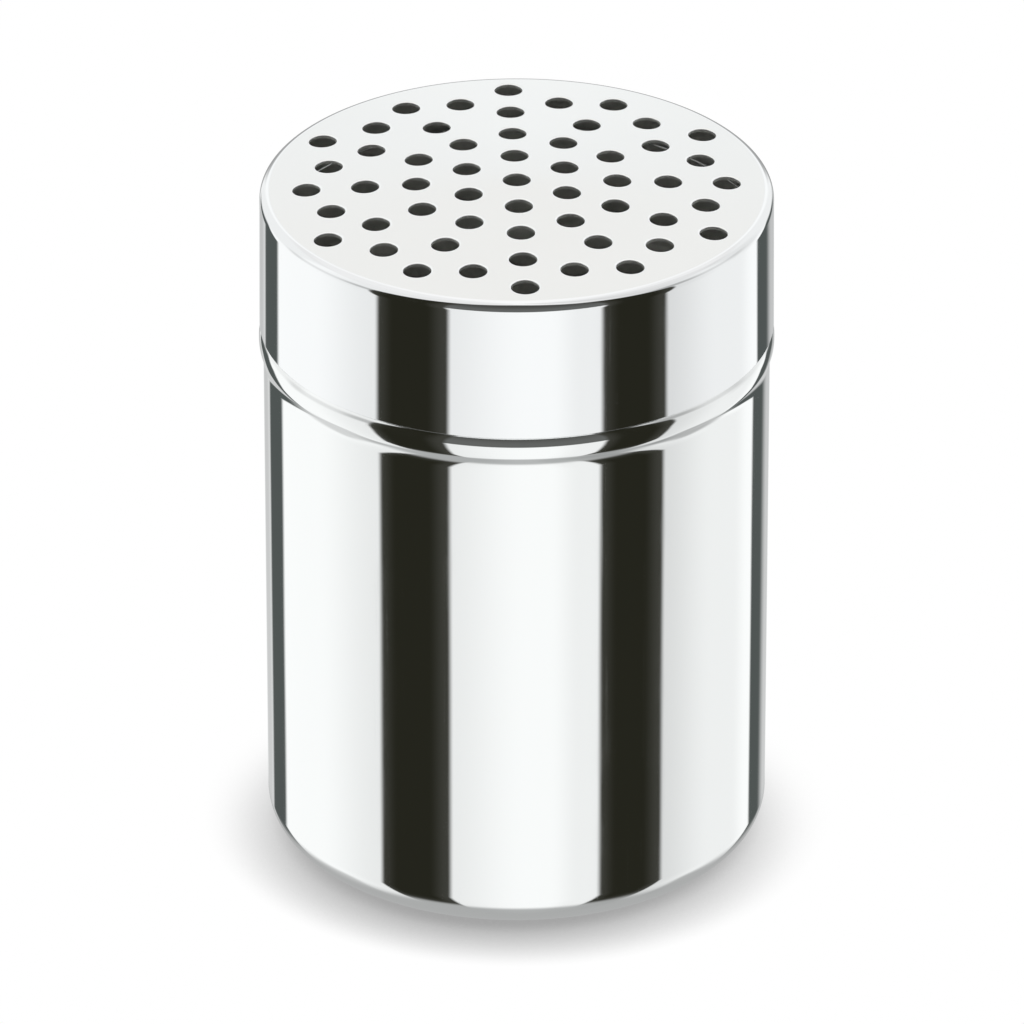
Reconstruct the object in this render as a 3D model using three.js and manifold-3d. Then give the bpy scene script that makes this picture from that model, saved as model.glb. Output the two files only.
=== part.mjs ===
// Kitchen salt shaker of pressed stainless steel: a straight drawn cup with a pressed stop bead
// near its top, and a push-on cap whose crowned top is punched with 55 round holes.
// Millimetres, +Z up. The origin is on the table, under the middle of the base.

import * as THREE from 'three';
import { mergeVertices } from 'three/addons/utils/BufferGeometryUtils.js';
import Module from 'manifold-3d';

const wasm = await Module();
wasm.setup();

// Driving dimensions

const overallHeight = 98.5; // table to the apex of the crown
const bodyDiameter = 69.5; // outside of the straight wall
const sheet = 0.5; // thickness of the drawn sheet
const baseEdgeRadius = 5; // outside bend between base and wall

const capHeight = 21.45; // lower edge of the cap to the apex of the crown
const capFlare = 0.18; // how much the cap's wall widens on the radius, top to bottom
const capEdgeRadius = 1.4; // outside bend between crown and wall
const crownSlope = 0.0464; // fall of the crown per millimetre of radius
const crownTipRadius = 6.8; // radius over which the tip of the crown is rounded

const beadProud = 0.6; // crest of the stop bead over the body's wall
const beadRadius = 6; // convex rounding of the bead's crest
const beadCrestTurn = 5; // degrees that the crest turns through, above and below its middle
const beadUpperRadius = 2; // tighter convex rounding from the crest up to the neck
const beadLowerRadius = 2.2; // tighter convex rounding from the crest down to the wall
const beadFootRadius = 3.2; // concave rounding between the bead and the body's wall
const neckFootRadius = 1.5; // concave rounding between the bead and the neck
const neckStep = 0.48; // how far the neck lies inside the line of the body's wall
const rimDrop = 8.5; // apex of the crown down to the rim of the neck

const neckClearance = 0.3; // neck to cap, on the radius, where the cap is narrowest
const seatGap = 0.3; // lower edge of the cap over the bead

const baseRise = 1.2; // how far the middle of the base is pressed up
const standingRingWidth = 3; // flat ring the shaker stands on
const baseStepRun = 2.5; // width of the sloping step inside that ring

const holeDiameter = 3.9; // every shaking hole
// Rings of holes: how many, radius of the ring as a share of the cap's, first angle from +Y in degrees.
const holeRings = [
  [1, 0, 0],
  [6, 0.22, 0],
  [6, 0.432, 0],
  [6, 0.391, 30],
  [6, 0.6415, 0],
  [6, 0.589, 30],
  [6, 0.8585, 0],
  [12, 0.751, 15],
  [6, 0.817, 30],
];

const turnSteps = 48; // facets round the axis
const holeSteps = 12; // facets round a hole

// Sizes that follow from them

const bodyRadius = bodyDiameter / 2;
const neckRadius = bodyRadius - neckStep;
const neckTopZ = overallHeight - rimDrop;
const capRadius = neckRadius + neckClearance + sheet; // just under the cap's top bend
const capMouthRadius = capRadius + capFlare;
const capEdgeZ = overallHeight - capHeight;

const crestRadius = bodyRadius + beadProud;
const crestTurn = THREE.MathUtils.degToRad(beadCrestTurn);
// Middles of the bead's three convex roundings: their radius, and their height over the crest.
const crestMiddle = crestRadius - beadRadius;
const upperMiddle = crestMiddle + (beadRadius - beadUpperRadius) * Math.cos(crestTurn);
const upperRise = (beadRadius - beadUpperRadius) * Math.sin(crestTurn);
const lowerMiddle = crestMiddle + (beadRadius - beadLowerRadius) * Math.cos(crestTurn);
const lowerDrop = (beadRadius - beadLowerRadius) * Math.sin(crestTurn);
// Angle on the upper rounding at which the bead is as wide as the mouth of the cap.
const seatAngle = Math.acos((capMouthRadius - sheet - upperMiddle) / beadUpperRadius);
const seatRise = upperRise + beadUpperRadius * Math.sin(seatAngle);
const crestZ = capEdgeZ - seatGap - seatRise;

// Profile helpers: points are (radius, height)

function point(radius, height) {
  return new THREE.Vector2(radius, height);
}

// Points on an arc about (radius, height). Angles in radians, 0 points outward, a quarter turn up.
function arc(radius, height, bend, from, to, steps) {
  const points = [];
  for (let i = 0; i <= steps; i += 1) {
    const angle = from + ((to - from) * i) / steps;
    points.push(point(radius + bend * Math.cos(angle), height + bend * Math.sin(angle)));
  }
  return points;
}

// Height of the crown at a radius, on its outer face: a shallow cone with a rounded tip.
function crownHeight(radius) {
  const slant = Math.sqrt(radius * radius + crownTipRadius * crownTipRadius);
  return overallHeight - crownSlope * (slant - crownTipRadius);
}

function crownAngle(radius) {
  const slant = Math.sqrt(radius * radius + crownTipRadius * crownTipRadius);
  return Math.atan((crownSlope * radius) / slant);
}

// Solids

// A closed solid of revolution about +Z from a profile that starts and ends on the axis.
function turned(profile, steps) {
  const geometry = new THREE.LatheGeometry(profile, steps);
  geometry.rotateX(Math.PI / 2);
  return toSolid(geometry);
}

function toSolid(source) {
  source.deleteAttribute('normal');
  source.deleteAttribute('uv');
  const geometry = mergeVertices(source, 1e-4);
  const vertProperties = new Float32Array(geometry.attributes.position.array);
  const triVerts = new Uint32Array(geometry.index.array);
  return new wasm.Manifold(new wasm.Mesh({ numProp: 3, vertProperties, triVerts }));
}

function toGeometry(solid) {
  const mesh = solid.getMesh();
  const geometry = new THREE.BufferGeometry();
  const positions = new THREE.BufferAttribute(new Float32Array(mesh.vertProperties), 3);
  geometry.setAttribute('position', positions);
  geometry.setIndex(new THREE.BufferAttribute(new Uint32Array(mesh.triVerts), 1));
  geometry.computeVertexNormals();
  return geometry;
}

// Body: base, wall, stop bead and neck of one drawn cup

// Angle at which a convex rounding meets the concave one that leads on to a straight wall.
function meetingAngle(convexMiddle, convex, wall, concave) {
  return Math.acos((wall + concave - convexMiddle) / (convex + concave));
}

// Bead between wall and neck, going up. The inset moves it inward through the sheet.
function beadProfile(inset) {
  const low = meetingAngle(lowerMiddle, beadLowerRadius, bodyRadius, beadFootRadius);
  const high = meetingAngle(upperMiddle, beadUpperRadius, neckRadius, neckFootRadius);
  const lowerZ = crestZ - lowerDrop;
  const upperZ = crestZ + upperRise;
  const footZ = lowerZ - (beadLowerRadius + beadFootRadius) * Math.sin(low);
  const neckFootZ = upperZ + (beadUpperRadius + neckFootRadius) * Math.sin(high);
  const foot = beadFootRadius + inset;
  const neckFoot = neckFootRadius + inset;
  const lower = beadLowerRadius - inset;
  const crest = beadRadius - inset;
  const upper = beadUpperRadius - inset;
  return [
    ...arc(bodyRadius + beadFootRadius, footZ, foot, Math.PI, Math.PI - low, 3),
    ...arc(lowerMiddle, lowerZ, lower, -low, -crestTurn, 2).slice(1),
    ...arc(crestMiddle, crestZ, crest, -crestTurn, crestTurn, 2).slice(1),
    ...arc(upperMiddle, upperZ, upper, crestTurn, high, 3).slice(1, -1),
    ...arc(neckRadius + neckFootRadius, neckFootZ, neckFoot, Math.PI + high, Math.PI, 3),
  ];
}

// Base and its bend, going outward. The inset moves it up through the sheet.
function baseProfile(inset) {
  const ringOuter = bodyRadius - baseEdgeRadius;
  const ringInner = ringOuter - standingRingWidth;
  const bend = baseEdgeRadius - inset;
  return [
    point(0, baseRise + inset),
    point(ringInner - baseStepRun, baseRise + inset),
    point(ringInner, inset),
    ...arc(ringOuter, baseEdgeRadius, bend, -Math.PI / 2, 0, 6),
  ];
}

function bodySolid() {
  const rim = sheet / 2;
  const outside = [...baseProfile(0), ...beadProfile(0)];
  const inside = [...baseProfile(sheet), ...beadProfile(sheet)];
  const rimArc = arc(neckRadius - rim, neckTopZ - rim, rim, 0, Math.PI, 4);
  return turned([...outside, ...rimArc, ...inside.reverse()], turnSteps);
}

// Cap: crown, bend and wall of one drawn sheet, punched with the holes

// Crown and bend, going outward. The inset moves them inward through the sheet.
function crownProfile(inset) {
  const bendStart = capRadius - capEdgeRadius;
  const tilt = crownAngle(bendStart);
  const bendZ = crownHeight(bendStart) - capEdgeRadius * Math.cos(tilt);
  // One ring close round the middle hole keeps the crown's height there, the others are even.
  const radii = [0, 0.55 * holeDiameter];
  const rings = 5;
  for (let i = 1; i < rings; i += 1) {
    radii.push((bendStart * i) / rings);
  }
  const points = radii.map((radius) => point(radius, crownHeight(radius) - inset));
  const bend = capEdgeRadius - inset;
  return [...points, ...arc(bendStart, bendZ, bend, Math.PI / 2 - tilt, 0, 4)];
}

function capSolid() {
  const edge = sheet / 2;
  const edgeArc = arc(capMouthRadius - edge, capEdgeZ + edge, edge, -Math.PI, 0, 4);
  const shell = turned([...crownProfile(sheet), ...edgeArc, ...crownProfile(0).reverse()], turnSteps);
  return shell.subtract(holeSolids());
}

// One cylinder for each hole, long enough to pass right through the crown.
function holeSolids() {
  const low = crownHeight(capRadius) - 3 * sheet;
  const high = overallHeight + sheet;
  let all = null;
  for (const [count, share, firstAngle] of holeRings) {
    const ringRadius = share * capRadius;
    for (let i = 0; i < count; i += 1) {
      const angle = THREE.MathUtils.degToRad(90 + firstAngle + (360 * i) / count);
      const geometry = new THREE.CylinderGeometry(
        holeDiameter / 2,
        holeDiameter / 2,
        high - low,
        holeSteps,
      );
      geometry.rotateX(Math.PI / 2);
      geometry.translate(
        ringRadius * Math.cos(angle),
        ringRadius * Math.sin(angle),
        (low + high) / 2,
      );
      const hole = toSolid(geometry);
      all = all ? all.add(hole) : hole;
    }
  }
  return all;
}

// Scene graph

function piece(name, solid, material) {
  const mesh = new THREE.Mesh(toGeometry(solid), material);
  mesh.name = name;
  return mesh;
}

const bodySteel = new THREE.MeshStandardMaterial({ color: 0xdcdedb, roughness: 0.06, metalness: 1 });
const capSteel = new THREE.MeshStandardMaterial({ color: 0xdadcd9, roughness: 0.09, metalness: 1 });

const group = new THREE.Group();
group.add(piece('body_cup', bodySolid(), bodySteel));
group.add(piece('shaker_cap', capSolid(), capSteel));

export default group;
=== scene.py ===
# %% [markdown]
# # A kitchen salt shaker in polished steel
#
# The shaker is made of two drawn pieces of stainless sheet. The cup has a straight wall with a
# pressed bead near its top, and the cap pushes on over the cup's neck until its edge meets that
# bead. The cap's crowned top is punched with 55 round holes.
#
# Polished steel has almost no colour of its own. What the eye sees is the room, bent by the
# shape. So three things decide the picture: smooth surfaces, a room worth mirroring, and a finish
# that is nearly perfect but not quite. The lesson takes the camera and the room first, then the
# shapes, and the finish last.

# %% Load the fixed frame
import math

import bmesh
import bpy
from mathutils import Matrix, Vector
from mathutils.geometry import delaunay_2d_cdt


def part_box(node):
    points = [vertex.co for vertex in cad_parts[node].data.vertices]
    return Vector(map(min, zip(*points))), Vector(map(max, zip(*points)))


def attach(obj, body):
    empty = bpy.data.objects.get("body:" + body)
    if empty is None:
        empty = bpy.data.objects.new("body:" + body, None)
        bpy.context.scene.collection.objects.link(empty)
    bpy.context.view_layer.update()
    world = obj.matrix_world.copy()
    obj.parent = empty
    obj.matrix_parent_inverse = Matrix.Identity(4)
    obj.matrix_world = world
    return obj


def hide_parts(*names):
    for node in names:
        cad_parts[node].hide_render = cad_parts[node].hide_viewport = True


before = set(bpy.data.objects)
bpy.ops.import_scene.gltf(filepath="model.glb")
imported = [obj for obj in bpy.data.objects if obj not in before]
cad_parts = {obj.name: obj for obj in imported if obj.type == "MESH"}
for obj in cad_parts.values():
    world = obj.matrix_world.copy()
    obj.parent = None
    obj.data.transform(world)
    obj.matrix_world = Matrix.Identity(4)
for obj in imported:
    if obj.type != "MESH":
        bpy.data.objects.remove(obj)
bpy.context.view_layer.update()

scene = bpy.context.scene
scene.view_settings.view_transform = "Standard"
MM = 0.001  # Blender works in metres, sheet metal is drawn in millimetres
print("nodes of the frame:", sorted(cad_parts))

# %% [markdown]
# ## The camera
#
# A long lens from far away keeps the sides of the wall almost parallel. The camera looks down at
# the shaker, which shows the punched top as a flat ellipse. It is set by the point on the
# shaker's axis that it looks at, by how far away it stands and by how steeply it looks down. The
# shaker itself stays where it is, so the camera walks round it by the small turn that the rows of
# holes show.

# %% Place the camera
focal_length = 406.6  # mm, on a 36 mm sensor
camera_distance = 1.5992
camera_fall = math.radians(28.09)  # how steeply it looks down
camera_turn = math.radians(2.16)  # how far it stands round from the middle row of holes
aim_height = 0.04715  # on the shaker's axis
aim_aside = -0.00064  # the axis is a little to the right of the picture's middle

view_right = Vector((math.cos(camera_turn), -math.sin(camera_turn), 0))
view_level = Vector((math.sin(camera_turn), math.cos(camera_turn), 0))
view_ahead = view_level * math.cos(camera_fall) - Vector((0, 0, math.sin(camera_fall)))
view_up = view_right.cross(view_ahead)

camera_data = bpy.data.cameras.new("camera")
camera_data.lens = focal_length
camera = bpy.data.objects.new("camera", camera_data)
scene.collection.objects.link(camera)
aim = view_right * aim_aside + Vector((0, 0, aim_height))
camera_axes = Matrix((view_right, view_up, -view_ahead)).transposed().to_4x4()
camera.matrix_world = Matrix.Translation(aim - view_ahead * camera_distance) @ camera_axes
scene.camera = camera
print("camera at", tuple(round(v, 4) for v in camera.matrix_world.translation))

# %% [markdown]
# ## Helpers for shader nodes
#
# Both the room and the steel are made of shader nodes. A few short helpers keep the graphs
# readable: one for arithmetic, one for a soft step from 0 to 1, two that mix colours or shaders,
# and one that makes a shader of a single colour.

# %% Write a node graph as if it were a formula
def connect(tree, value, socket):
    """Plug a socket into another, or set it to a plain value."""
    if isinstance(value, bpy.types.NodeSocket):
        tree.links.new(value, socket)
    else:
        socket.default_value = value


def calc(tree, operation, first, second=0.0):
    node = tree.nodes.new("ShaderNodeMath")
    node.operation = operation
    connect(tree, first, node.inputs[0])
    connect(tree, second, node.inputs[1])
    return node.outputs[0]


def soft_step(tree, value, edge, blur):
    """0 well below the edge and 1 well above it, with a smooth run as wide as the blur."""
    node = tree.nodes.new("ShaderNodeMapRange")
    node.interpolation_type = "SMOOTHSTEP"
    connect(tree, value, node.inputs["Value"])
    node.inputs["From Min"].default_value = edge - blur / 2
    node.inputs["From Max"].default_value = edge + blur / 2
    return node.outputs["Result"]


def soft_band(tree, value, low, high, blur):
    """1 between low and high, 0 outside."""
    above = soft_step(tree, value, low, blur)
    below = calc(tree, "SUBTRACT", 1.0, soft_step(tree, value, high, blur))
    return calc(tree, "MULTIPLY", above, below)


def mix_colour(tree, amount, first, second):
    node = tree.nodes.new("ShaderNodeMix")
    node.data_type = "RGBA"
    connect(tree, amount, node.inputs[0])
    connect(tree, first, node.inputs[6])
    connect(tree, second, node.inputs[7])
    return node.outputs[2]


def grey(level, tint=(1.0, 1.0, 1.0)):
    """A linear colour for a node's socket."""
    return (level * tint[0], level * tint[1], level * tint[2], 1.0)


def coloured(tree, kind, colour):
    """A background, emission or matt shader of one colour."""
    node = tree.nodes.new(kind)
    connect(tree, colour, node.inputs["Color"])
    return node.outputs[0]


def mix_shaders(tree, amount, first, second):
    """The first shader where the amount is 0, the second where it is 1."""
    node = tree.nodes.new("ShaderNodeMixShader")
    tree.links.new(amount, node.inputs["Fac"])
    tree.links.new(first, node.inputs[1])
    tree.links.new(second, node.inputs[2])
    return node.outputs[0]


print("a mid grey is written", grey(0.5))

# %% [markdown]
# ## The room that the steel mirrors
#
# A shiny object is photographed in a white tent, with dark cards standing outside the light. The
# cards put the dark stripes on the wall that make it read as metal. They could be real planes,
# but planes stand in the way when the camera walks round. Here they are painted into the world,
# by the direction in which a mirrored ray leaves: its bearing round the shaker and its rise above
# the horizon.
#
# Bearings are in degrees, 0 towards the camera and positive to the right of the picture.

# %% Give every direction a bearing and a rise
world = bpy.data.worlds.new("white_tent")
scene.world = world
world.use_nodes = True
sky = world.node_tree
sky.nodes.clear()
sky_direction = sky.nodes.new("ShaderNodeTexCoord").outputs["Generated"]


def direction_part(axis):
    """How far the ray's direction goes along one axis."""
    node = sky.nodes.new("ShaderNodeVectorMath")
    node.operation = "DOT_PRODUCT"
    sky.links.new(sky_direction, node.inputs[0])
    node.inputs[1].default_value = axis
    return node.outputs["Value"]


aside = direction_part(view_right)
towards = direction_part(-view_level)
upward = direction_part((0, 0, 1))
bearing = calc(sky, "MULTIPLY", calc(sky, "ARCTAN2", aside, towards), math.degrees(1))
rise = calc(sky, "MULTIPLY", calc(sky, "ARCSINE", upward), math.degrees(1))
print("bearing and rise take", len(sky.nodes), "nodes")

# %% [markdown]
# The tent's white isn't even. It is brightest straight in front and greyer low down, where the
# cloth lies in the shaker's own shade. Between them it falls off towards the dark cards. A shade
# is a soft-edged patch of bearings and rises that takes away a share of the light: three of them
# stand beside the legs of the card, two high up at the sides and two low down at the back.

# %% Paint the white of the tent
tent_white = grey(1.08, (0.99, 1.0, 1.0))
tent_roof = grey(1.07)
low_cloth = grey(0.53, (0.98, 1.0, 1.0))
low_cloth_top, low_cloth_blur = -58, 14
roof_foot, roof_blur = 37, 8
WHOLE_RISE = (-200, 200)  # every rise, with room to spare for the blur


def tone_down(colour, area, amount, tone=grey(0.0)):
    """Mix a share of a tone, black unless told, into an area of the tent."""
    return mix_colour(sky, calc(sky, "MULTIPLY", area, amount), colour, tone)


def shade(colour, amount, bearings, blur, rises=WHOLE_RISE, rise_blur=10):
    """Take away a share of the light in a range of bearings and rises."""
    across = soft_band(sky, bearing, *bearings, blur)
    along = soft_band(sky, rise, *rises, rise_blur)
    return tone_down(colour, calc(sky, "MULTIPLY", across, along), amount)


tent = mix_colour(sky, soft_step(sky, rise, low_cloth_top, low_cloth_blur), low_cloth, tent_white)
tent = mix_colour(sky, soft_step(sky, rise, roof_foot, roof_blur), tent, tent_roof)
tent = shade(tent, 0.15, (-84, -15), 40)
tent = shade(tent, 0.10, (22, 125), 14)
tent = shade(tent, 0.20, (50, 84), 36)
tent = shade(tent, 0.10, (-160, -84), 24, rises=(38, 88))
tent = shade(tent, 0.10, (84, 160), 24, rises=(38, 88))
tent = shade(tent, 0.32, (-156, -94), 16, rises=(-62, -43), rise_blur=8)
tent = shade(tent, 0.48, (94, 156), 16, rises=(-62, -44), rise_blur=8)
print("with the tent's white the world has", len(sky.nodes), "nodes")

# %% [markdown]
# Two faint shadows run down the cloth from the ends of the arched card, one on each side. They
# sink as they go back. The tight bend of the cap's rim gathers each of them into the fine grey
# line between the top and the wall, and the bead repeats it under the cap's edge.

# %% Let the arch's ends cast their shadows
line_fall = 0.35  # degrees of rise that a line loses with each degree of bearing
line_blur = 10
far_side = calc(sky, "ABSOLUTE", bearing)
past_middle = calc(sky, "SUBTRACT", far_side, 90)
sinking = calc(sky, "ADD", rise, calc(sky, "MULTIPLY", past_middle, line_fall))


def shade_line(colour, amount, bearings, blur, heights):
    """Take away light along a sinking line. Its heights are rises at a bearing of 90 degrees."""
    across = soft_band(sky, bearing, *bearings, blur)
    along = soft_band(sky, sinking, *heights, line_blur)
    return tone_down(colour, calc(sky, "MULTIPLY", across, along), amount)


tent = shade_line(tent, 0.17, (-114, -60), 10, (-5, 11))
tent = shade_line(tent, 0.30, (-78, -60), 14, (-2, 14))
tent = shade_line(tent, 0.18, (64, 114), 10, (7, 23))
tent = shade_line(tent, 0.30, (64, 84), 14, (9, 25))
print("with the shadows the world has", len(sky.nodes), "nodes")

# %% [markdown]
# Behind the shaker the cloth meets the table. Only steel seen almost edge-on mirrors that place:
# the outline of the wall and the far edge of the top. The band that leaves the outline grey is
# what keeps white steel apart from a white background. The flat top mirrors one small patch of
# the cloth, and that patch is a shade greyer than the cloth round it, so the rolled edges of the
# holes shine. It is also a touch warmer, as the light of a lamp on the ceiling would make it.

# %% Darken the far side of the tent
warm_glow = grey(0.48, (1.64, 1.0, 0.4))
far_blur = 8


def shade_far_side(colour, amount, start, rises, blur, tone=grey(0.0)):
    """Mix a share of a tone into the light behind the shaker, past a bearing on both sides."""
    across = soft_step(sky, far_side, start, far_blur)
    along = soft_band(sky, rise, *rises, blur)
    return tone_down(colour, calc(sky, "MULTIPLY", across, along), amount, tone)


tent = shade_far_side(tent, 0.10, 172, (20, 36), 6)
tent = shade_far_side(tent, 0.05, 175, (26, 44), 6, tone=warm_glow)
tent = shade(tent, 0.10, (-158, -104), 10, rises=(-8, 42))
tent = shade(tent, 0.10, (104, 158), 10, rises=(-8, 42))
tent = shade_far_side(tent, 0.22, 156, (-70, -8), 10)
tent = shade_far_side(tent, 0.62, 160, (-24, 12), 12)
tent = shade(tent, 0.24, (-172, -150), 8, rises=(-70, -22))
tent = shade(tent, 0.24, (150, 173), 8, rises=(-70, -22))
print("with the far side the world has", len(sky.nodes), "nodes")

# %% [markdown]
# The cards are soft-edged pieces in bearing and rise. One wide card hangs above the camera, cut
# to an arch, and two legs stand under its ends. The legs are darkest in the middle, because the
# white tent shines on their edges. Two narrow cards stand behind the shaker. The right one is
# hung twice, once sharp and once soft, because its inner edge is sharp and its outer edge isn't.

# %% Tones and places of the cards
leg_rim = grey(0.052, (1.0, 1.0, 0.85))
leg_core = grey(0.020, (1.0, 1.0, 0.68))
top_low = grey(0.14, (0.97, 1.0, 0.97))
top_high = grey(0.072, (1.0, 1.0, 0.95))
back_card = grey(0.10, (0.88, 1.0, 0.97))
leg_left = (-65, -30.5)
leg_right = (38.5, 70.5)
leg_foot, leg_foot_blur = -57, 18
top_foot = -6
core_inset = (4, 6)  # how far the dark core stays inside a leg, left and right
core_lift, core_blur = 10, 9
back_head, back_head_blur = -8, 10
back_foot_blur = 14
print("legs hang at bearings", leg_left, "and", leg_right)

# %% [markdown]
# The top card ends in an arch, so its head isn't one rise but a curve. The curve falls off to the
# sides as a cosine does, and the legs end under the same curve.

# %% Hang the cards in the tent
arch_rise = 73  # top of the arch, straight in front
arch_pinch = 1.13  # how fast the arch falls to the sides
arch_edge, arch_blur = 1, 10
arch = calc(sky, "COSINE", calc(sky, "MULTIPLY", bearing, math.radians(arch_pinch)))
over_arch = calc(sky, "SUBTRACT", rise, calc(sky, "MULTIPLY", arch, arch_rise))
under_arch = calc(sky, "SUBTRACT", 1.0, soft_step(sky, over_arch, arch_edge, arch_blur))


def hang_card(colour, card, bearings, foot, head=under_arch, blur=3.0, foot_blur=3.0):
    """Lay one card over what has been painted so far. Its head is a mask from 0 to 1."""
    across = soft_band(sky, bearing, *bearings, blur)
    along = calc(sky, "MULTIPLY", soft_step(sky, rise, foot, foot_blur), head)
    return mix_colour(sky, calc(sky, "MULTIPLY", across, along), colour, card)


def hang_leg(colour, bearings):
    """A leg with a lighter rim round its dark core."""
    colour = hang_card(colour, leg_rim, bearings, leg_foot, foot_blur=leg_foot_blur)
    core = (bearings[0] + core_inset[0], bearings[1] - core_inset[1])
    core_foot = leg_foot + core_lift
    return hang_card(colour, leg_core, core, core_foot, blur=core_blur, foot_blur=leg_foot_blur)


top_middle, top_blur = 35, 50  # where the top card turns from its low tone to its high one
top_card = mix_colour(sky, soft_step(sky, rise, top_middle, top_blur), top_low, top_high)
tent = hang_card(tent, top_card, (leg_left[0], leg_right[1]), top_foot)
tent = hang_leg(tent, leg_left)
tent = hang_leg(tent, leg_right)
below_rim = calc(sky, "SUBTRACT", 1.0, soft_step(sky, rise, back_head, back_head_blur))
tent = hang_card(tent, back_card, (-154, -135), -42, below_rim, 4, back_foot_blur)
tent = hang_card(tent, back_card, (137, 150), -44, below_rim, 3, back_foot_blur)
tent = hang_card(tent, back_card, (144, 156), -44, below_rim, 13, back_foot_blur)
print("with the cards the world has", len(sky.nodes), "nodes")

# %% [markdown]
# Only mirrored rays see the cards. The camera sees plain white behind the shaker, and matt
# surfaces are lit by the same even white, as by one big soft box all round.

# %% Send each kind of ray to its background
tent_light = coloured(sky, "ShaderNodeBackground", tent)
plain_light = coloured(sky, "ShaderNodeBackground", grey(1.0))
mirrored_ray = sky.nodes.new("ShaderNodeLightPath").outputs["Is Glossy Ray"]
all_light = mix_shaders(sky, mirrored_ray, plain_light, tent_light)
sky.links.new(all_light, sky.nodes.new("ShaderNodeOutputWorld").inputs["Surface"])
print("world nodes:", len(sky.nodes))

# %% [markdown]
# ## The floor
#
# A plain white floor keeps the soft shadow that tells the eye the shaker stands on something.
# Three kinds of ray meet it, and each gets what it needs. The camera sees the shadow close to the
# base on a full white floor. Bounced light finds an ordinary pale surface. The steel mirrors only
# the shaded ring of floor right beside it, which greys the bend at the foot. Further out the
# mirrored rays go through, because the tent's low cloth does that work.

# %% Lay the floor
floor_reach = 1.5
corner_signs = [(-1, -1), (1, -1), (1, 1), (-1, 1)]
floor_corners = [(x * floor_reach, y * floor_reach, 0) for x, y in corner_signs]
floor_mesh = bpy.data.meshes.new("floor")
floor_mesh.from_pydata(floor_corners, [], [(0, 1, 2, 3)])
floor = bpy.data.objects.new("floor", floor_mesh)
scene.collection.objects.link(floor)

floor_paint = bpy.data.materials.new("floor_white")
floor_paint.use_nodes = True
ground = floor_paint.node_tree
ground.nodes.clear()
floor_mesh.materials.append(floor_paint)
print("the floor reaches", floor_reach, "m to each side")

# %% [markdown]
# The shadow is ambient occlusion: the share of the sky above a point of the floor that something
# near blocks. Its reach is kept short, so that the shadow hugs the base. The sky's middle leans
# to the back and a little to the right. So the shadow is fuller in front and on the left, as a
# light behind the shaker would make it.

# %% Shade the floor beside the base
shadow_reach = 0.010
shadow_depth = 0.79  # how dark the shadow gets where everything above is blocked
sky_lean_back, sky_lean_right = 1.0, 0.15
shadow_start = 0.06  # fainter shade than this is lost in the light
shadow_samples = 10
nearby = ground.nodes.new("ShaderNodeAmbientOcclusion")
nearby.samples = shadow_samples
nearby.inputs["Distance"].default_value = shadow_reach
lean = ground.nodes.new("ShaderNodeCombineXYZ")
leaning = view_level * sky_lean_back + view_right * sky_lean_right + Vector((0, 0, 1))
for socket, part in zip(lean.inputs, leaning.normalized()):
    socket.default_value = part
ground.links.new(lean.outputs[0], nearby.inputs["Normal"])
blocked = calc(ground, "SUBTRACT", 1.0 - shadow_start, nearby.outputs["AO"])
shadow = calc(ground, "MAXIMUM", calc(ground, "MULTIPLY", blocked, shadow_depth), 0.0)
seen_tone = mix_colour(ground, shadow, grey(1.0), grey(0.0))
seen_floor = coloured(ground, "ShaderNodeEmission", seen_tone)
print("the shadow reaches", shadow_reach / MM, "mm")

# %% [markdown]
# The mirrored ring of floor fades out within a few millimetres. Its tone is one grey, and what
# fades is how solid it is.

# %% Let the steel mirror the ring at its foot
ring_inner_edge, ring_outer_edge = 0.0340, 0.0384  # distances from the axis
ring_tone = grey(0.455, (0.99, 1.0, 1.0))
floor_place = ground.nodes.new("ShaderNodeTexCoord").outputs["Object"]
from_axis = ground.nodes.new("ShaderNodeVectorMath")
from_axis.operation = "LENGTH"
ground.links.new(floor_place, from_axis.inputs[0])
fade_middle = (ring_inner_edge + ring_outer_edge) / 2
fade_width = ring_outer_edge - ring_inner_edge
past_ring = soft_step(ground, from_axis.outputs["Value"], fade_middle, fade_width)
shaded_ring = coloured(ground, "ShaderNodeEmission", ring_tone)
see_through = ground.nodes.new("ShaderNodeBsdfTransparent").outputs[0]
mirrored = mix_shaders(ground, past_ring, shaded_ring, see_through)
print("the ring fades out over", round(fade_width / MM, 1), "mm")

# %% [markdown]
# Now each kind of ray is sent to its shader. A mix picks one of two shaders by a number that is 1
# for one kind of ray and 0 for all others.

# %% Put the floor together
matt_tone = grey(0.8)
matt = coloured(ground, "ShaderNodeBsdfDiffuse", matt_tone)
floor_ray = ground.nodes.new("ShaderNodeLightPath")
unseen = mix_shaders(ground, floor_ray.outputs["Is Glossy Ray"], matt, mirrored)
whole = mix_shaders(ground, floor_ray.outputs["Is Camera Ray"], unseen, seen_floor)
ground.links.new(whole, ground.nodes.new("ShaderNodeOutputMaterial").inputs["Surface"])
print("floor nodes:", len(ground.nodes))

# %% [markdown]
# ## Sections of drawn sheet
#
# Both pieces are round, so each is one section turned about the axis. A mirror shows every flaw
# in a surface, so the section isn't just a row of points. Each point also carries the direction
# that the true surface faces there. Those directions become the mesh's own normals, and then a
# straight wall mirrors straight, even right beside a tight bend.
#
# A section is written as a row of arcs, and the straight stretches between them follow by
# themselves. The section runs round the metal with the metal on its left. So an arc that turns
# left is a bend seen from outside, and an arc that turns right is the hollow side of a bend.

# %% Arcs that know which way the surface faces
sheet = 0.5  # thickness of the drawn sheet, in mm as all sizes of the two pieces
arc_pitch = math.radians(4)
QUARTER = math.pi / 2


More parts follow.
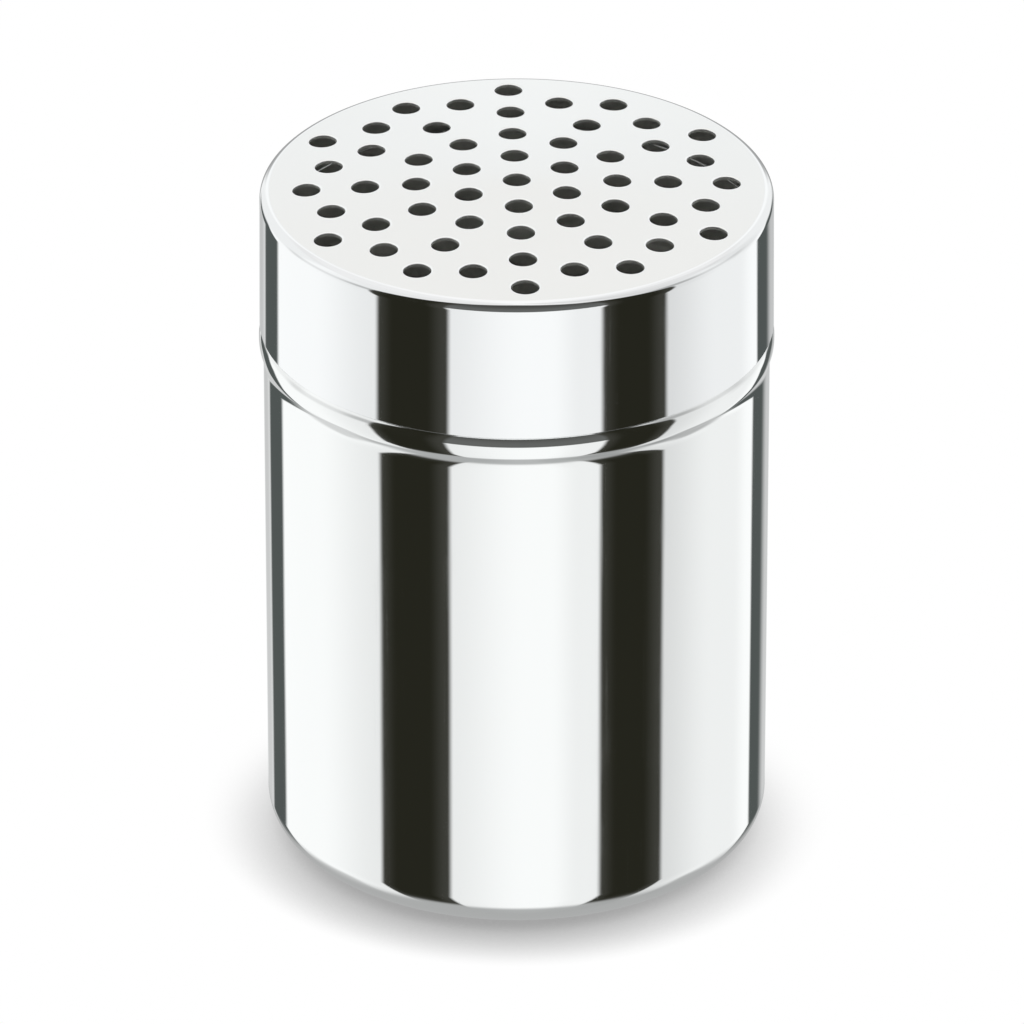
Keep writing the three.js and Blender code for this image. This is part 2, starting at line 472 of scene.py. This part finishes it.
def follow(arcs, depth=0.0):
    """Points (radius, height, outward, upward) along arcs, at a depth into the sheet."""
    points = []
    for radius, height, bend, start, end in arcs:
        facing = 1 if end > start else -1
        reach = bend - facing * depth
        steps = max(2, math.ceil(abs(end - start) / arc_pitch))
        for i in range(steps + 1):
            angle = start + (end - start) * i / steps
            out, up = math.cos(angle), math.sin(angle)
            points.append((radius + reach * out, height + reach * up, facing * out, facing * up))
    return points


def turned_over(points):
    """The same points run backwards and facing the other way, for the inner face."""
    return [(radius, height, -out, -up) for radius, height, out, up in reversed(points)]


def round_corner(radius, height, bend, before, after):
    """The arc that rounds a corner between two headings. Both headings are angles."""
    turn = after - before
    side = QUARTER if turn > 0 else -QUARTER
    reach = bend * math.tan(abs(turn) / 2)
    centre_radius = radius - reach * math.cos(before) + bend * math.cos(before + side)
    centre_height = height - reach * math.sin(before) + bend * math.sin(before + side)
    return (centre_radius, centre_height, bend, before - side, after - side)


print("a quarter bend takes", len(follow([(0, 0, 1, 0, QUARTER)])), "points")

# %% [markdown]
# Turning the section is a loop over steps round the axis. Every point becomes a ring of
# vertices, and neighbouring rings are joined by faces. A point on the axis becomes one vertex.
# The surface's direction is kept in a layer of the mesh until the piece is complete.

# %% Turn a section about the axis
turn_steps = 240


def place(build, radius, height, out, up, angle):
    """One vertex at an angle round the axis, with the direction that its surface faces."""
    across, along = math.cos(angle), math.sin(angle)
    vertex = build.verts.new((radius * across * MM, radius * along * MM, height * MM))
    vertex[build.verts.layers.float_vector["facing"]] = (out * across, out * along, up)
    return vertex


def ring(build, point):
    radius, height, out, up = point
    if radius == 0:
        return [place(build, 0, height, out, up, 0)] * turn_steps
    angles = [math.tau * i / turn_steps for i in range(turn_steps)]
    return [place(build, radius, height, out, up, angle) for angle in angles]


def skin(build, lower, upper, finish):
    """Faces between two rings. The finish is the number of the face's material."""
    for i in range(turn_steps):
        j = (i + 1) % turn_steps
        corners = list(dict.fromkeys((lower[i], lower[j], upper[j], upper[i])))
        build.faces.new(corners).material_index = finish


def turn_section(build, points, finish):
    rings = [ring(build, point) for point in points]
    for lower, upper in zip(rings, rings[1:]):
        skin(build, lower, upper, finish)
    return rings


print("steps round the axis:", turn_steps)

# %% [markdown]
# A piece is put together in Blender's editable mesh. When it is complete, vertices that lie in the
# same place are welded into one, and the directions in the layer become the mesh's own normals.

# %% Start and finish a piece
weld_distance = 1e-7


def start_piece():
    build = bmesh.new()
    build.verts.layers.float_vector.new("facing")
    return build


def finish_piece(build, name, materials):
    """Weld the piece, give it its surface directions as normals and add it to the scene."""
    bmesh.ops.remove_doubles(build, verts=build.verts, dist=weld_distance)
    facing = build.verts.layers.float_vector["facing"]
    normals = [vertex[facing].normalized() for vertex in build.verts]
    mesh = bpy.data.meshes.new(name)
    build.verts.layers.float_vector.remove(facing)
    build.to_mesh(mesh)
    build.free()
    mesh.shade_smooth()
    mesh.normals_split_custom_set_from_vertices(normals)
    for material in materials:
        mesh.materials.append(material)
    piece = bpy.data.objects.new(name, mesh)
    scene.collection.objects.link(piece)
    print(name, "has", len(mesh.vertices), "vertices and", len(mesh.polygons), "faces")
    return piece


print("vertices closer than", weld_distance, "m are welded")

# %% [markdown]
# The frame gives the sizes that have to agree with it: the height of the neck and of the cap's
# edge, and the width of the bead and of the cap's mouth. The bends are the sheet-metal worker's
# own choice of tool, so they are written here.

# %% Sizes that come from the frame
cup_high = Vector(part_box("body_cup")[1]) / MM
cap_low, cap_high = (Vector(corner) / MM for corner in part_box("shaker_cap"))
crest_radius = cup_high.x  # widest point of the bead
rim_height = cup_high.z
cap_edge_height = cap_low.z
mouth_radius = cap_high.x
print("bead", round(crest_radius, 2), "mouth", round(mouth_radius, 2), "rim", round(rim_height, 2))

# %% [markdown]
# ## The cup
#
# The cup is drawn from one disc of sheet. Its base is pressed up in the middle, so that it stands
# on a ring and doesn't rock. A wide bend leads into the straight wall.

# %% Arcs of the base
bead_proud = 0.6  # crest over the wall
neck_step = 0.48  # wall over the neck
wall_radius = crest_radius - bead_proud
neck_radius = wall_radius - neck_step

base_bend = 5.0
base_rise = 1.2
ring_width = 3.0
step_run = 2.5
step_bend = 1.0
ring_inner = wall_radius - base_bend - ring_width
step_slope = -math.atan(base_rise / step_run)

base_arcs = [
    round_corner(ring_inner - step_run, base_rise, step_bend, 0, step_slope),
    round_corner(ring_inner, 0, step_bend, step_slope, 0),
    round_corner(wall_radius, 0, base_bend, 0, QUARTER),
]
print("stands on a ring from", round(ring_inner, 2), "to", round(ring_inner + ring_width, 2), "mm")

# %% [markdown]
# Near the top the wall swells into the bead and steps back into the neck. The bead is five arcs
# that flow into each other: a hollow foot, a bend, the nearly flat crest, a second bend and a
# second hollow foot. The flat crest is what mirrors the white lens under the dark arch.
#
# The arcs are worked out from the crest. Its height follows from the cap, whose edge rests just
# over the upper bend.

# %% Arcs of the bead
bead_bend = 6.0
bead_turn = math.radians(6)  # the crest's own arc, above and below its middle
upper_bend = 2.6  # from the crest up to the neck
lower_bend = 2.0  # from the crest down to the wall
bead_foot = 4.2
neck_foot = 1.5
seat_gap = 0.15  # bead to the cap's edge


def step_down(bend, turn):
    """Middle of a tighter arc next to the crest's: its radius, and its height over the crest."""
    shift = bead_bend - bend
    return crest_radius - bead_bend + shift * math.cos(turn), shift * math.sin(turn)


def meeting_angle(middle, bend, straight, hollow):
    """Where a bend meets the hollow arc that leads on to a straight stretch."""
    return math.acos((straight + hollow - middle) / (bend + hollow))


upper_middle, upper_rise = step_down(upper_bend, bead_turn)
lower_middle, lower_rise = step_down(lower_bend, -bead_turn)
low = meeting_angle(lower_middle, lower_bend, wall_radius, bead_foot)
high = meeting_angle(upper_middle, upper_bend, neck_radius, neck_foot)
seat_angle = math.acos((mouth_radius - sheet - upper_middle) / upper_bend)
crest_height = cap_edge_height - seat_gap - upper_rise - upper_bend * math.sin(seat_angle)
foot_height = crest_height + lower_rise - (lower_bend + bead_foot) * math.sin(low)
neck_foot_height = crest_height + upper_rise + (upper_bend + neck_foot) * math.sin(high)
bead_arcs = [
    (wall_radius + bead_foot, foot_height, bead_foot, math.pi, math.pi - low),
    (lower_middle, crest_height + lower_rise, lower_bend, -low, -bead_turn),
    (crest_radius - bead_bend, crest_height, bead_bend, -bead_turn, bead_turn),
    (upper_middle, crest_height + upper_rise, upper_bend, bead_turn, high),
    (neck_radius + neck_foot, neck_foot_height, neck_foot, math.pi + high, math.pi),
]
print("crest at", round(crest_height, 2), "wall ends at", round(foot_height, 2))

# %% [markdown]
# The inner face is the same row of arcs at the depth of the sheet, run backwards. A small half
# turn joins the two at the rim, which is trimmed and tumbled smooth. The outside gets the polish
# and the inside keeps the plain drawn finish, so the two faces get different materials.

# %% Build the cup
POLISHED, DRAWN = 0, 1
polished_cup = bpy.data.materials.new("polished_cup")
drawn_inside = bpy.data.materials.new("drawn_inside")


def build_cup():
    build = start_piece()
    outer = follow(base_arcs + bead_arcs)
    inner = turned_over(follow(base_arcs + bead_arcs, sheet))
    rim = follow([(neck_radius - sheet / 2, rim_height - sheet / 2, sheet / 2, 0, math.pi)])
    turn_section(build, [(0, base_rise, 0, -1)] + outer + rim, POLISHED)
    turn_section(build, rim[-1:] + inner + [(0, base_rise + sheet, 0, 1)], DRAWN)
    return finish_piece(build, "drawn_cup", [polished_cup, drawn_inside])


cup = build_cup()
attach(cup, "cup")
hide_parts("body_cup")

# %% [markdown]
# ## The cap
#
# The cap's crown is a very shallow cone with a rounded tip, so it sheds salt and doesn't drum.
# A tight bend turns it down into the wall. The wall widens a little downwards, so that the cap
# slides on easily. The lower edge is cut square and its two corners are tumbled smooth.
#
# The wall's slant isn't chosen. It is the line that touches both the edge's rounding and the top
# bend, so it is worked out from them.

# %% Arcs of the cap's outer face
cap_flare = 0.18  # how much the wall widens on the radius
top_bend = 1.4
crown_apex = 98.5  # the middle hole takes this point away, so no vertex reaches it
crown_slope = 0.0464
crown_tip = 6.8  # radius over which the tip is rounded
cap_radius = mouth_radius - cap_flare


def crown_slant(radius):
    return math.hypot(radius, crown_tip)


def crown_height(radius):
    return crown_apex - crown_slope * (crown_slant(radius) - crown_tip)


bend_radius = cap_radius - top_bend
crown_fall = math.atan(crown_slope * bend_radius / crown_slant(bend_radius))
crown_radius = bend_radius + top_bend * math.sin(crown_fall)
bend_height = crown_height(crown_radius) - top_bend * math.cos(crown_fall)

edge_bend = 0.1
edge_radius = mouth_radius - edge_bend
edge_height = cap_edge_height + edge_bend
out_to_edge = edge_radius - bend_radius
rise_to_bend = bend_height - edge_height
between = math.hypot(out_to_edge, rise_to_bend)
wall_lean = math.atan2(out_to_edge, rise_to_bend) - math.asin((top_bend - edge_bend) / between)
bend_arc = (bend_radius, bend_height, top_bend, wall_lean, QUARTER - crown_fall)
edge_arcs = [
    (mouth_radius - sheet + edge_bend, edge_height, edge_bend, wall_lean - math.pi, -QUARTER),
    (edge_radius, edge_height, edge_bend, -QUARTER, wall_lean),
]
print("the wall leans by", round(math.degrees(wall_lean), 2), "degrees")

# %% [markdown]
# Six rows of four holes run out from the middle one. Rows of three lie between them, and twelve
# more holes fill the outer gaps. Holes at one distance from the middle make a ring. Each ring is
# given by its count, its radius as a share of the cap's and the angle of its first hole from the
# middle row.

# %% Centres of the holes
hole_radius = 1.9
hole_rings = [
    (1, 0, 0),
    (6, 0.22, 0),
    (6, 0.432, 0),
    (6, 0.391, 30),
    (6, 0.6415, 0),
    (6, 0.589, 30),
    (6, 0.8585, 0),
    (12, 0.751, 15),
    (6, 0.817, 30),
]
hole_centres = []
for count, share, first in hole_rings:
    for i in range(count):
        angle = math.radians(90 + first + 360 * i / count)
        hole_centres.append(Vector((math.cos(angle), math.sin(angle))) * share * cap_radius)
print("holes:", len(hole_centres))

# %% [markdown]
# A boolean cut would leave long thin triangles round every hole, and a mirror shows them. So the
# crown is laid out flat instead: rings of points round each hole, an even scatter between them,
# and a triangulation that keeps the outlines. The flat layout is then lifted onto the crown.

# %% Scatter points between the holes
hole_steps = 40
lead_in = 0.36  # the punch draws the hole's edge in by this much
collar = 0.35  # ring of points this far outside the edge
scatter_pitch = 1.5
keep_off = hole_radius + lead_in + 1.6 * collar  # no scatter nearer to a hole's middle


def circle(centre, radius, steps):
    angles = [math.tau * i / steps for i in range(steps)]
    return [centre + Vector((math.cos(a), math.sin(a))) * radius for a in angles]


def scatter():
    """Points in even rows over the crown, clear of the holes and of the top bend."""
    last_radius = crown_radius - scatter_pitch / 2
    row_pitch = scatter_pitch * math.sqrt(3) / 2
    rows = math.ceil(crown_radius / row_pitch)
    spots = []
    for row in range(-rows, rows + 1):
        for column in range(-rows - 1, rows + 2):
            spot = Vector(((column + 0.5 * (row % 2)) * scatter_pitch, row * row_pitch))
            clear = all((spot - centre).length > keep_off for centre in hole_centres)
            if clear and spot.length < last_radius:
                spots.append(spot)
    return spots


scattered = scatter()
print("points between the holes:", len(scattered))

# %% [markdown]
# The outlines are the holes' edges and the ring where the crown meets the bend. The triangulation
# keeps them, but it fills the holes too, so the triangles inside a hole are left out.

# %% Triangulate the punched crown
open_radius = hole_radius + 0.9 * lead_in  # triangles nearer than this fill a hole
same_point = 1e-5


def lay_out_crown():
    """Points and triangles of the crown from above. Each hole's edge comes first, in order."""
    points, outlines = [], []
    for centre in hole_centres:
        outlines.append((len(points), hole_steps))
        points += circle(centre, hole_radius + lead_in, hole_steps)
    outlines.append((len(points), turn_steps))
    points += circle(Vector((0, 0)), crown_radius, turn_steps)
    for centre in hole_centres:
        points += circle(centre, hole_radius + lead_in + collar, hole_steps)
    points += scattered
    edges = []
    for start, count in outlines:
        edges += [(start + i, start + (i + 1) % count) for i in range(count)]
    laid, _, triangles, origins, _, _ = delaunay_2d_cdt(points, edges, [], 0, same_point)
    order = [origin[0] for origin in origins]
    solid = []
    for triangle in triangles:
        middle = sum((laid[i] for i in triangle), Vector((0, 0))) / 3
        if all((middle - centre).length > open_radius for centre in hole_centres):
            solid.append([order[i] for i in triangle])
    return points, solid


crown_points, crown_triangles = lay_out_crown()
print("crown points:", len(crown_points), "triangles:", len(crown_triangles))

# %% [markdown]
# A punch comes from outside: it dishes the sheet a little, rolls the edge in softly and leaves the
# inner edge nearly sharp. The dished ring is what draws the thin bright line round each hole in
# the picture.

# %% Section of a punched hole
edge_roll = 0.12  # rounding of the outer edge
burr_edge = 0.04  # rounding of the inner edge
dish_lean = math.radians(11)


def hole_section():
    """(distance outside the bore, depth, lean) from the outer face down to the inner one."""
    dish_width = lead_in - edge_roll * (1 - math.sin(dish_lean))
    dish_depth = dish_width * math.tan(dish_lean) / 2
    section = []
    for share in (0, 1 / 3, 2 / 3):
        section.append((lead_in - dish_width * share, dish_depth * share ** 2, dish_lean * share))
    for share in (0, 0.2, 0.4, 0.6, 0.8, 1):
        lean = dish_lean + (QUARTER - dish_lean) * share
        drop = edge_roll * (math.cos(dish_lean) - math.cos(lean))
        section.append((edge_roll * (1 - math.sin(lean)), dish_depth + drop, lean))
    for lean in (QUARTER, 1.5 * QUARTER, 2 * QUARTER):
        outside = burr_edge * (1 - math.sin(lean))
        section.append((outside, sheet - burr_edge * (1 + math.cos(lean)), lean))
    return section


print("steps down the wall of a hole:", len(hole_section()))

# %% [markdown]
# The flat layout is lifted onto the crown twice, once for each face of the sheet, and every hole
# gets a wall between them. The wall's upper part shares the crown's polish.

# %% Lift the crown and line the holes
crown_steps = 7  # steps down a hole's wall that share the crown's polish


def crown_vertex(build, spot, depth, lean=0.0, away=Vector((0, 0))):
    """A vertex at a depth under the crown's outer face. It leans from the face's own direction."""
    slope = spot * (crown_slope / crown_slant(spot.length))
    face = Vector((slope.x, slope.y, 1)).normalized()
    towards_hole = Vector((-away.x, -away.y, 0))
    facing = face * math.cos(lean) + towards_hole * math.sin(lean)
    height = crown_height(spot.length) - depth
    vertex = build.verts.new((spot.x * MM, spot.y * MM, height * MM))
    vertex[build.verts.layers.float_vector["facing"]] = facing
    return vertex


def hole_ring(build, centre, outside, depth, lean):
    """One ring of a hole. Its lean is 0 at the outer face and a quarter turn in the bore."""
    steps = circle(Vector((0, 0)), hole_radius + outside, hole_steps)
    return [crown_vertex(build, centre + step, depth, lean, step.normalized()) for step in steps]


def line_hole(build, centre, edge_finish, bore_finish):
    """The wall of one hole from the outer face to the inner one."""
    rings = [hole_ring(build, centre, *step) for step in hole_section()]
    for number, (upper, lower) in enumerate(zip(rings, rings[1:])):
        finish = edge_finish if number < crown_steps else bore_finish
        for i in range(hole_steps):
            j = (i + 1) % hole_steps
            build.faces.new((upper[i], upper[j], lower[j], lower[i])).material_index = finish
    return rings[0], rings[-1]


print("faces in the wall of a hole:", (len(hole_section()) - 1) * hole_steps)

# %% [markdown]
# With the holes lined, each face of the crown takes its points from the holes' first or last
# ring, from the bend's first ring and from the scatter. The rest of the cap is turned like the
# cup, and welding the shared rings closes the piece.

# %% Build the cap
SATIN = 2
polished_cap = bpy.data.materials.new("polished_cap")
satin_crown = bpy.data.materials.new("satin_crown")


def crown_face(build, hole_edges, rim, depth, finish):
    """One face of the crown over the flat layout. A depth over 0 is the underside."""
    vertices = [vertex for edge in hole_edges for vertex in edge] + rim
    for spot in crown_points[len(vertices):]:
        vertex = crown_vertex(build, spot, depth, math.pi if depth else 0)
        vertices.append(vertex)
    for triangle in crown_triangles:
        corners = [vertices[i] for i in triangle]
        if depth:
            corners.reverse()
        build.faces.new(corners).material_index = finish


def build_cap():
    build = start_piece()
    outer = follow(edge_arcs + [bend_arc])
    inner = turned_over(follow([bend_arc], sheet))
    outer_rings = turn_section(build, outer, POLISHED)
    inner_rings = turn_section(build, inner + outer[:1], DRAWN)
    edges = [line_hole(build, centre, SATIN, DRAWN) for centre in hole_centres]
    crown_face(build, [edge[0] for edge in edges], outer_rings[-1], 0, SATIN)
    crown_face(build, [edge[1] for edge in edges], inner_rings[0], sheet, DRAWN)
    return finish_piece(build, "punched_cap", [polished_cap, drawn_inside, satin_crown])


cap = build_cap()
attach(cap, "cap")
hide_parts("shaker_cap")

# %% [markdown]
# ## The finish
#
# Stainless steel is a little darker than silver and has almost no tint. Polishing makes its
# roughness tiny, and use puts back a few things: a haze where it is handled, hairlines from the
# cloth, and a few knocks. Drawing leaves the thin wall very slightly uneven, and the straight
# edges of a mirrored card show that as a soft waver.
#
# A hairline is a thin layer of noise, cut by the surface. The layers of one set are parallel, so
# each set stands for one direction of wiping.

# %% Hairlines and scuffs
# Each way of wiping is a turn of the noise, in radians.
wipe_directions = [(0.3, 0.2, 0.4), (1.2, 0.5, 0.1), (0.2, 1.4, 0.9)]
hairline_pitch = 2600  # layers of noise in a metre
hairline_run = 30  # how often in a metre a line breaks off
hairline_level, hairline_blur = 0.72, 0.08
scuff_turn_blur, scuff_height_blur = 0.2, 0.4


def noise(tree, where, scale, detail):
    """Soft clouds from 0 to 1."""
    node = tree.nodes.new("ShaderNodeTexNoise")
    node.inputs["Scale"].default_value = scale
    node.inputs["Detail"].default_value = detail
    tree.links.new(where, node.inputs["Vector"])
    return node.outputs["Fac"]


def hairlines(tree, where):
    """1 on a fine line, 0 beside it."""
    total = 0.0
    for turn in wipe_directions:
        layers = tree.nodes.new("ShaderNodeMapping")
        layers.inputs["Rotation"].default_value = turn
        layers.inputs["Scale"].default_value = (hairline_pitch, hairline_run, hairline_run)
        tree.links.new(where, layers.inputs["Vector"])
        cloud = noise(tree, layers.outputs["Vector"], 1, 1)
        lines = soft_step(tree, cloud, hairline_level, hairline_blur)
        total = calc(tree, "MAXIMUM", total, lines)
    return total


def scuff(tree, where, turns, heights):
    """1 in a small mark, given in degrees round the axis from +X and in mm over the table."""
    parts = tree.nodes.new("ShaderNodeSeparateXYZ")
    tree.links.new(where, parts.inputs[0])
    turn = calc(tree, "ARCTAN2", parts.outputs["Y"], parts.outputs["X"])
    turn = calc(tree, "MULTIPLY", turn, math.degrees(1))
    height = calc(tree, "DIVIDE", parts.outputs["Z"], MM)
    across = soft_band(tree, turn, *turns, scuff_turn_blur)
    along = soft_band(tree, height, *heights, scuff_height_blur)
    return calc(tree, "MULTIPLY", across, along)


print("ways of wiping:", len(wipe_directions))

# %% [markdown]
# The marks sit where a shaker gets them: low on the wall, where it knocks against its
# neighbours, and low on the cap, where fingers and nails pull it off.

# %% Places of the marks
cup_scuffs = [
    ((-62.4, -62.2), (25, 56)),
    ((-66.3, -66.0), (4, 15)),
    ((-62.8, -62.5), (9, 14)),
    ((-67.8, -62.6), (11.8, 12.0)),
]
cap_scuffs = [
    ((-113.6, -112.6), (81.2, 81.5)),
    ((-113.2, -113.0), (80.7, 82.0)),
    ((-70.2, -69.0), (81.0, 81.3)),
    ((-69.7, -69.5), (80.8, 82.6)),
]
print("marks on the cup:", len(cup_scuffs), "on the cap:", len(cap_scuffs))

# %% [markdown]
# Haze, hairlines and marks only change how rough the steel is. Its colour is the same all over,
# and its unevenness is a bump too low to be seen as a shape. The crown is satin, a little rougher
# than the walls, and the inside keeps the dull finish of the drawing press.

# %% Polished steel
hairline_weight, scuff_weight = 0.3, 0.6
wear_roughness = 0.14  # what full wear would add to the roughness
haze_scale, haze_detail = 70, 3
haze_level, haze_blur = 0.55, 0.3
waver_scale = 35


def wear(tree, where, scuffs):
    """How worn the surface is: faintly in the hairlines, more in the scuffs."""
    worn = calc(tree, "MULTIPLY", hairlines(tree, where), hairline_weight)
    for turns, heights in scuffs:
        mark = calc(tree, "MULTIPLY", scuff(tree, where, turns, heights), scuff_weight)
        worn = calc(tree, "MAXIMUM", worn, mark)
    return worn


def steel(material, colour, polish, haze, waver, scuffs=()):
    """Bright steel. Polish and haze are roughnesses, waver is the height of its unevenness."""
    material.use_nodes = True
    tree = material.node_tree
    shader = tree.nodes["Principled BSDF"]
    shader.inputs["Metallic"].default_value = 1.0
    shader.inputs["Base Color"].default_value = colour
    where = tree.nodes.new("ShaderNodeTexCoord").outputs["Object"]

    hazy = soft_step(tree, noise(tree, where, haze_scale, haze_detail), haze_level, haze_blur)
    roughness = calc(tree, "ADD", calc(tree, "MULTIPLY", hazy, haze - polish), polish)
    rubbed = calc(tree, "MULTIPLY", wear(tree, where, scuffs), wear_roughness)
    tree.links.new(calc(tree, "ADD", roughness, rubbed), shader.inputs["Roughness"])

    bump = tree.nodes.new("ShaderNodeBump")
    bump.inputs["Distance"].default_value = waver
    tree.links.new(noise(tree, where, waver_scale, 0), bump.inputs["Height"])
    tree.links.new(bump.outputs["Normal"], shader.inputs["Normal"])
    print(material.name, "has", len(tree.nodes), "nodes and", len(scuffs), "scuffs")


steel(polished_cup, grey(0.89, (0.995, 1.005, 1.0)), 0.03, 0.06, 0.00004, cup_scuffs)
steel(polished_cap, grey(0.885, (0.99, 1.0, 1.005)), 0.03, 0.06, 0.00004, cap_scuffs)
steel(satin_crown, grey(0.89, (0.995, 1.005, 1.0)), 0.08, 0.12, 0.00002)
steel(drawn_inside, grey(0.93, (1.0, 1.0, 0.97)), 0.5, 0.6, 0.00004)
